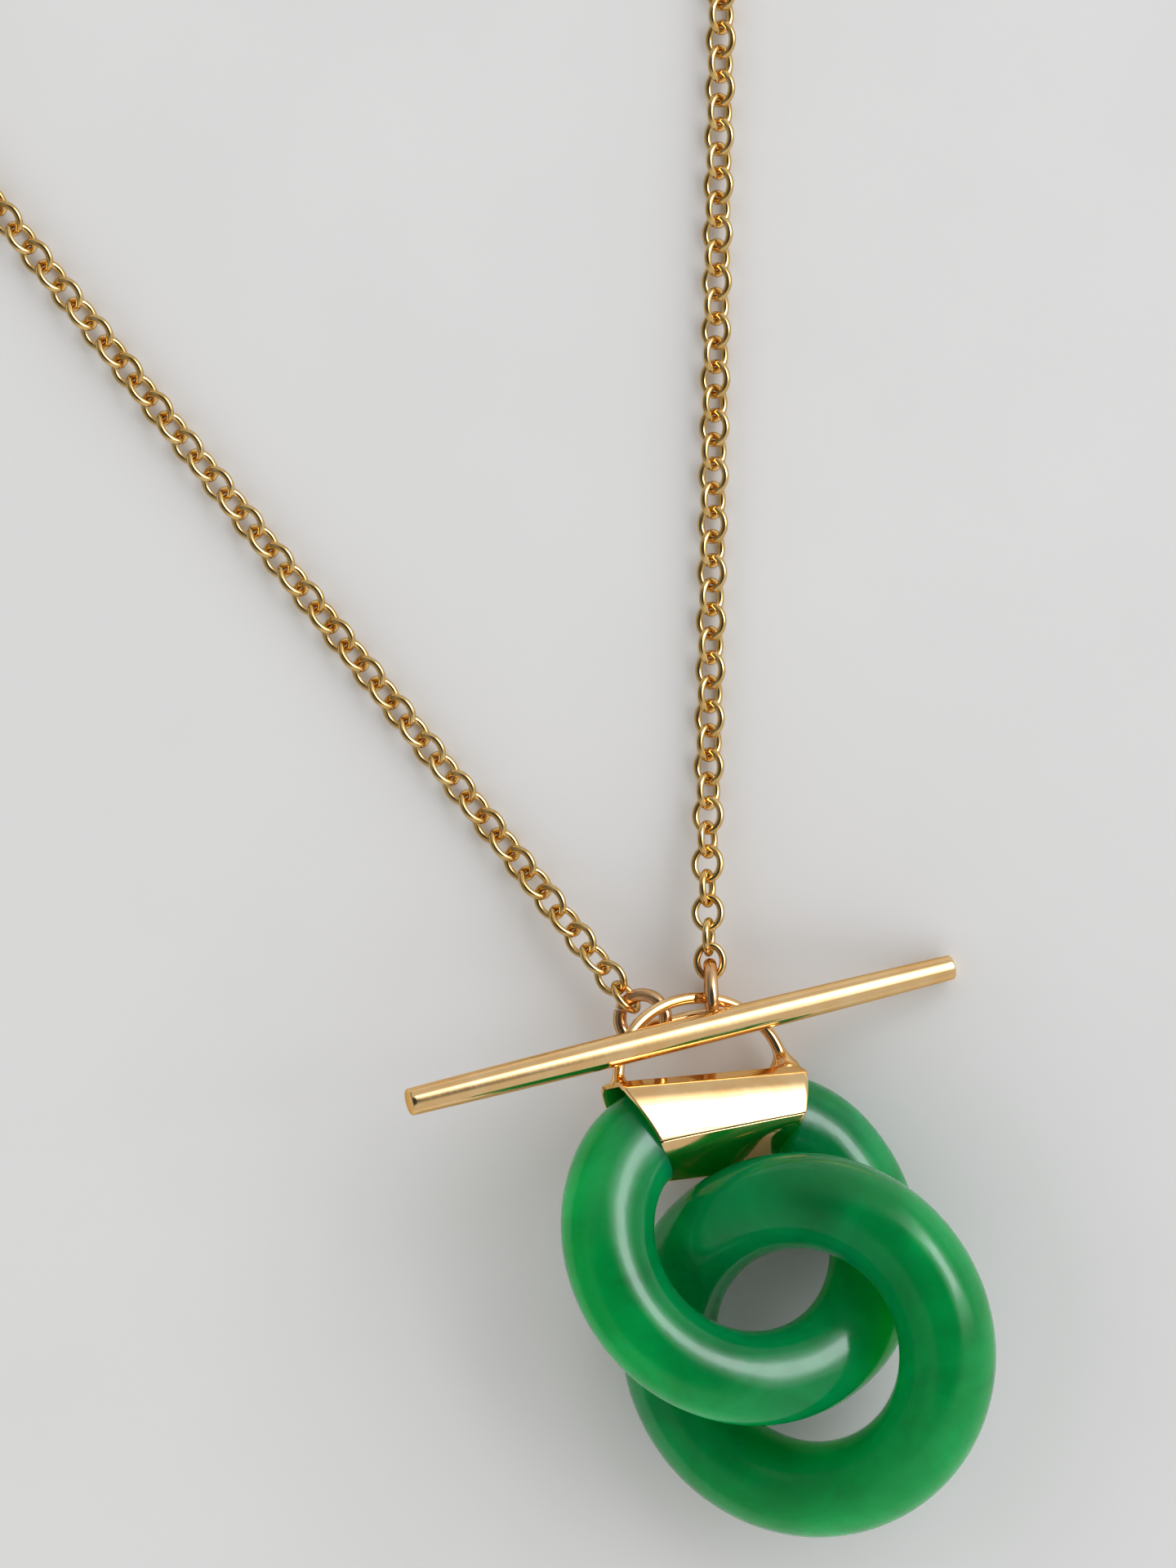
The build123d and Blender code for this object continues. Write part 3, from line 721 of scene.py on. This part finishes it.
eyelet_path = np.column_stack([eyelet_path, np.zeros(len(eyelet_path))])
eyelet_place = bar_place @ place((0, 0, 0), (1, 0, 0), (0, -cos(eyelet_lean), -sin(eyelet_lean)))
eyelet_grid = moved(eyelet_place, wire(eyelet_path, (0, 0, 1), eyelet_wire / 2, 32, False))
piece("toggle_bar", [(bar_grid, False), (eyelet_grid, False)], gold, "t_bar")

# %% [markdown]
# Jump rings are cut from a coil of round wire, so each has a seam where two flat ends meet. The seam is
# what tells a jump ring from a soldered one. A torus has none, so the ring is a wire that stops short of a
# full turn and has two rounded ends. The left ring lies almost flat under the bail's loop, and the right
# one stands on edge.

# %% Jump rings
jump_wire, jump_seam, jump_edge = 0.87, radians(3.5), 0.05
left_radius, left_seam_at, left_place = 1.60, 160.0, leaning((-2.20, 6.054, 3.09959), -18.8, 19.0)
right_radius, right_seam_at, right_center, right_heading = 2.16, -60.0, (2.572, 5.94, 2.61559), radians(73.8)
right_way = (cos(right_heading), sin(right_heading), 0)
right_normal = (sin(right_heading), -cos(right_heading), 0)


def open_ring(radius, seam_at, ring_place):
    """A ring of wire whose two ends nearly meet at the angle seam_at."""
    start = radians(seam_at) + jump_seam / 2
    sweep = np.linspace(start, start + 2 * pi - jump_seam, 120)
    path = radius * np.stack([np.cos(sweep), np.sin(sweep), 0 * sweep], axis=1)
    path, radii = round_ends(path, jump_wire / 2, jump_edge)
    return moved(ring_place, wire(path, (0, 0, 1), radii, 40, False))


left_jump = open_ring(left_radius, left_seam_at, left_place)
right_jump = open_ring(right_radius, right_seam_at, place(right_center, right_way, right_normal))
piece("jump_left", [(left_jump, False)], jump_gold, "jump_ring_left")
piece("jump_right", [(right_jump, False)], jump_gold, "jump_ring_right")

# %% [markdown]
# The chain is made of oval links, bent from round wire and soldered shut. An ellipse would be too pointed.
# A link wound on a flat mandrel has two tight ends and two long sides, and all four are arcs of a circle
# that meet without a corner. So the radius of the sides follows from the length, the width and the ends.

# %% One oval link
link_wire, link_pitch, link_clearance, link_width, link_end = 0.40, 1.61, 0.13, 2.17, 0.75
half_long = (link_pitch + link_wire + link_clearance) / 2
half_wide = (link_width - link_wire) / 2
end_center = half_long - link_end
side_radius = (end_center**2 + half_wide**2 - link_end**2) / (2 * (half_wide - link_end))
side_center = side_radius - half_wide
tangent = atan2(side_center, end_center)


def link_path(count):
    """Points round the oval, a quarter's share for each arc."""
    quarter = count // 4
    end_arc = np.linspace(-tangent, tangent, quarter, endpoint=False)
    side_arc = np.linspace(tangent, pi - tangent, quarter, endpoint=False)
    right = np.stack([end_center + link_end * np.cos(end_arc), link_end * np.sin(end_arc)], axis=1)
    top = np.stack([side_radius * np.cos(side_arc), side_radius * np.sin(side_arc) - side_center], axis=1)
    flat_path = np.vstack([right, top, -right, -top])
    return np.column_stack([flat_path, np.zeros(len(flat_path))])


oval = link_path(44)
print("link:", round(2 * half_long + link_wire, 2), "by", link_width, "mm")

# %% [markdown]
# The chain has 241 links, and each was packed as its own small solid, turned as it lies. Blender could
# repeat one link along a curve, but then the links would not lie as the solids do. So each solid is found
# and read.
#
# Blender can part a mesh into its loose pieces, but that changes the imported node. Here the pieces are only
# labelled: every corner starts with its own number, each triangle hands its least number to its corners,
# and this repeats until nothing changes. The middle, the long direction and the thin direction of a solid
# then come from the spread of its area.

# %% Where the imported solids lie
def loose_labels(corners, triangles):
    """For each triangle, a number that all triangles of the same loose piece share."""
    _, same = np.unique(np.round(corners, 4), axis=0, return_inverse=True)
    linked = same.ravel()[triangles]
    label = np.arange(linked.max() + 1)
    while True:
        least = label[linked].min(axis=1)
        before = label.copy()
        for column in range(3):
            np.minimum.at(label, linked[:, column], least)
        label = label[label]
        if np.array_equal(label, before):
            return label[linked[:, 0]]


def islands(node):
    """Area-weighted middle and own directions of each loose piece of a node's mesh, in lying millimetres."""
    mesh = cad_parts[node].data
    mesh.calc_loop_triangles()
    corners = np.empty(len(mesh.vertices) * 3)
    triangles = np.empty(len(mesh.loop_triangles) * 3, int)
    mesh.vertices.foreach_get("co", corners)
    mesh.loop_triangles.foreach_get("vertices", triangles)
    corners, triangles = corners.reshape(-1, 3) / mm - np.array(shift), triangles.reshape(-1, 3)
    label, found = loose_labels(corners, triangles), []
    for island in np.unique(label):
        a, b, c = (corners[triangles[label == island, i]] for i in range(3))
        area = np.linalg.norm(np.cross(b - a, c - a), axis=1)
        middles = (a + b + c) / 3
        middle = np.average(middles, axis=0, weights=area)
        spread = (middles - middle).T @ ((middles - middle) * area[:, None])
        _, directions = np.linalg.eigh(spread)
        found.append((middle, directions[:, 2], directions[:, 0]))
    return found


packed = {node: islands(node) for node in ("chain_left", "chain_right", "clasp")}
print("loose solids:", {node: len(found) for node, found in packed.items()})

# %% [markdown]
# A finer link is now set in each place. Hand-made links differ a little, so each is a touch longer, wider
# or thicker than the next. The numbers come from a seeded generator and are the same at every run.
# In the picture the wire is also a little fuller than that of the solids. One link of the left half was
# mended once, and is rounder and wider than the others.

# %% The two halves of the chain
rng = np.random.default_rng(7)
wire_fullness, hand_made = 1.17, 0.008
odd_link_at, odd_link_size = (-6.4, 16.73), (1.02, 1.10, 1.04)
for node, name in (("chain_left", "links_left"), ("chain_right", "links_right")):
    parts = []
    for middle, long_way, thin_way in packed[node]:
        size = 1 + rng.normal(0, hand_made, 3)
        if hypot(middle[0] - odd_link_at[0], middle[1] - odd_link_at[1]) < link_pitch / 2:
            size = np.array(odd_link_size)
        path = oval * (size[0], size[1], 1)
        grid = wire(path, (0, 0, 1), link_wire / 2 * wire_fullness * size[2], 14, True)
        parts.append((moved(place(middle, long_way, thin_way), grid), True))
    piece(name, parts, chain_gold, node)

# %% [markdown]
# The clasp is far outside the picture, behind the neck. It is there because the chain's real length needs
# it, and it is kept plain: a ring of round wire with an eyelet at each side. A real clasp has a spring and
# a lever, but nothing shows which kind it is, so none is invented.

# %% Clasp
clasp_radius, clasp_wire, clasp_eyelet, clasp_eyelet_wire = 2.40, 1.60, 0.85, 0.44
eyelet_offset = clasp_radius + clasp_wire / 2 + clasp_eyelet - clasp_eyelet_wire / 2
clasp_place = place(*packed["clasp"][0])
hoop = circle[::3]
clasp_parts = [(moved(clasp_place, wire(hoop * clasp_radius, (0, 0, 1), clasp_wire / 2, 40, True)), True)]
for side in (-1, 1):
    eyelet_hoop = hoop * clasp_eyelet + (side * eyelet_offset, 0, 0)
    eyelet = wire(eyelet_hoop, (0, 0, 1), clasp_eyelet_wire / 2, 20, True)
    clasp_parts.append((moved(clasp_place, eyelet), True))
piece("clasp_dressed", clasp_parts, chain_gold, "clasp")

# %% [markdown]
# The surface is pale, faintly warm paper. It is matt, so it could be one plain colour, but then the
# shadows would lie on nothing. A slow drift between two very near tones is enough. It is a plain square,
# far larger than the picture, so that no edge shows in the gold.

# %% Floor
half_floor, grain_scale = 1.5, 60
paper_tones = ((0.3, (0.785, 0.780, 0.770)), (0.7, (0.805, 0.800, 0.790)))
floor_finish, floor_tree, floor_shader = new_finish("pale_paper", Roughness=0.85)
grain = noise(floor_tree, grain_scale, detail=2.0)
floor_tree.links.new(ramp(floor_tree, grain, paper_tones), floor_shader.inputs["Base Color"])
floor_corners = [(x * half_floor, y * half_floor, 0) for x, y in ((-1, -1), (1, -1), (1, 1), (-1, 1))]
floor_mesh = bpy.data.meshes.new("floor")
floor_mesh.from_pydata(floor_corners, [], [(0, 1, 2, 3)])
floor_mesh.materials.append(floor_finish)
floor = bpy.data.objects.new("floor", floor_mesh)
bpy.context.scene.collection.objects.link(floor)
print("the floor is", 2 * half_floor, "m wide")

# %% [markdown]
# Jewellery is lit by what it reflects, so the light is built for its reflections first. One softbox stands
# high at the upper right of the picture. A single area light would be simplest, but seen in polished metal
# a real softbox is brightest in its middle. So it is made of twelve faintly cool panels, each smaller and
# a little nearer than the one before. All of them show in the reflections, and the eight largest also
# light matt surfaces.

# %% Softbox
picture_roll = radians(18.8)
camera_over = Vector((-0.615, 21.927, 0)) + shift
softbox_width, softbox_length, softbox_tone = 1.00, 0.62, (0.97, 1.00, 1.07)
softbox_distance, panel_step, matt_panels = 1.0, 0.01, 8
watts_for_white = 4  # an area light of one square metre then looks as bright as white
softbox_panels = (
    # share of the full size, radiance of the panel
    (1.35, 0.08), (1.27, 0.10), (1.19, 0.12), (1.11, 0.15), (1.03, 0.18), (0.95, 0.22),
    (0.87, 0.27), (0.79, 0.35), (0.70, 0.60), (0.60, 1.20), (0.48, 2.00), (0.34, 3.20),
)


def photo_direction(azimuth, elevation):
    """A direction given by its angle from the picture's right towards its top, and its rise."""
    heading = radians(azimuth) - picture_roll
    rise = radians(elevation)
    return Vector((cos(heading) * cos(rise), sin(heading) * cos(rise), sin(rise)))


def soft_light(name, toward, distance, share, radiance, lights_matt):
    """One rectangular panel that faces the necklace, by how bright its face looks."""
    width, length = softbox_width * share, softbox_length * share
    light = bpy.data.lights.new(name, "AREA")
    light.shape, light.size, light.size_y = "RECTANGLE", width, length
    light.energy = watts_for_white * radiance * width * length
    light.color = softbox_tone
    thing = bpy.data.objects.new(name, light)
    thing.visible_diffuse = lights_matt
    thing.location = camera_over * mm + toward * distance
    thing.rotation_euler = (-toward).to_track_quat("-Z", "Y").to_euler()
    bpy.context.scene.collection.objects.link(thing)


softbox_way = photo_direction(31, 39)
for number, (share, radiance) in enumerate(softbox_panels):
    distance = softbox_distance - panel_step * number
    soft_light(f"softbox_{number}", softbox_way, distance, share, radiance, number < matt_panels)
print("softbox:", len(softbox_panels), "panels, the first", matt_panels, "also light matt surfaces")

# %% [markdown]
# The walls of the room fill the shadows. They could be built as large white cards, but the world's
# background does it with a few nodes. Its walls are pale and its ceiling, where a camera and its stand
# would be, is dark.
#
# Round a camera, what polish mirrors is darker than what lights the surface, so the strength is split by
# the kind of ray. For matt surfaces the room is brighter towards the lower right of the picture, where the
# paper and its shadows are paler than the softbox alone would make them. For reflections it is darker,
# most of all at the left, and that dark side gives the gold its contrast.

# %% Room
wall_tone, ceiling_tone, wall_top, ceiling_edge = (1.0, 0.995, 0.985), (0.08, 0.08, 0.08), 0.74, 0.88
matt_azimuth, matt_strengths, matt_span = -50, (0.78, 1.44), (-1, 1)
polish_azimuth, polish_strengths, polish_span = 175, (0.58, 0.15), (0.1, 0.8)
world = bpy.data.worlds.new("pale_room")
bpy.context.scene.world = world
world.use_nodes = True
room_tree = world.node_tree
room = room_tree.nodes["Background"]
view_way = room_tree.nodes.new("ShaderNodeTexCoord")
height_of = room_tree.nodes.new("ShaderNodeSeparateXYZ")
room_tree.links.new(view_way.outputs["Generated"], height_of.inputs["Vector"])
room_tones = ramp(room_tree, height_of.outputs["Z"], ((wall_top, wall_tone), (ceiling_edge, ceiling_tone)))
room_tree.links.new(room_tones, room.inputs["Color"])


def towards(azimuth):
    """How far a direction of the room points along an azimuth of the picture, from -1 to 1."""
    node = room_tree.nodes.new("ShaderNodeVectorMath")
    node.operation = "DOT_PRODUCT"
    node.inputs[1].default_value = photo_direction(azimuth, 0)
    room_tree.links.new(view_way.outputs["Generated"], node.inputs[0])
    return node.outputs["Value"]


for_matt = between(room_tree, towards(matt_azimuth), *matt_strengths, *matt_span)
for_polish = between(room_tree, towards(polish_azimuth), *polish_strengths, *polish_span)
seen_by = room_tree.nodes.new("ShaderNodeLightPath")
strength = room_tree.nodes.new("ShaderNodeMix")
room_tree.links.new(seen_by.outputs["Is Glossy Ray"], strength.inputs["Factor"])
room_tree.links.new(for_matt, strength.inputs["A"])
room_tree.links.new(for_polish, strength.inputs["B"])
room_tree.links.new(strength.outputs["Result"], room.inputs["Strength"])
print("room strength for matt surfaces:", matt_strengths, "and for polish:", polish_strengths)

# %% [markdown]
# The camera hangs straight above the necklace, and is rolled because the necklace lies at a slant in the
# picture. Its field is known in millimetres at the surface, so the lens follows from the height and the
# field and needn't be found by trying. The standard view shows colours as they are, without the softer
# look of film.

# %% Camera
camera_height, field_height = 450.0, 104.35
camera_data = bpy.data.cameras.new("camera")
camera_data.sensor_fit = "VERTICAL"
camera_data.sensor_height = 24
camera_data.lens = camera_data.sensor_height * camera_height / field_height
camera_data.clip_start = 0.01
camera = bpy.data.objects.new("camera", camera_data)
camera.location = (camera_over + Vector((0, 0, camera_height))) * mm
camera.rotation_euler = (0, 0, -picture_roll)
bpy.context.scene.collection.objects.link(camera)
bpy.context.scene.camera = camera
bpy.context.scene.view_settings.view_transform = "Standard"
print("lens:", round(camera_data.lens, 1), "mm")
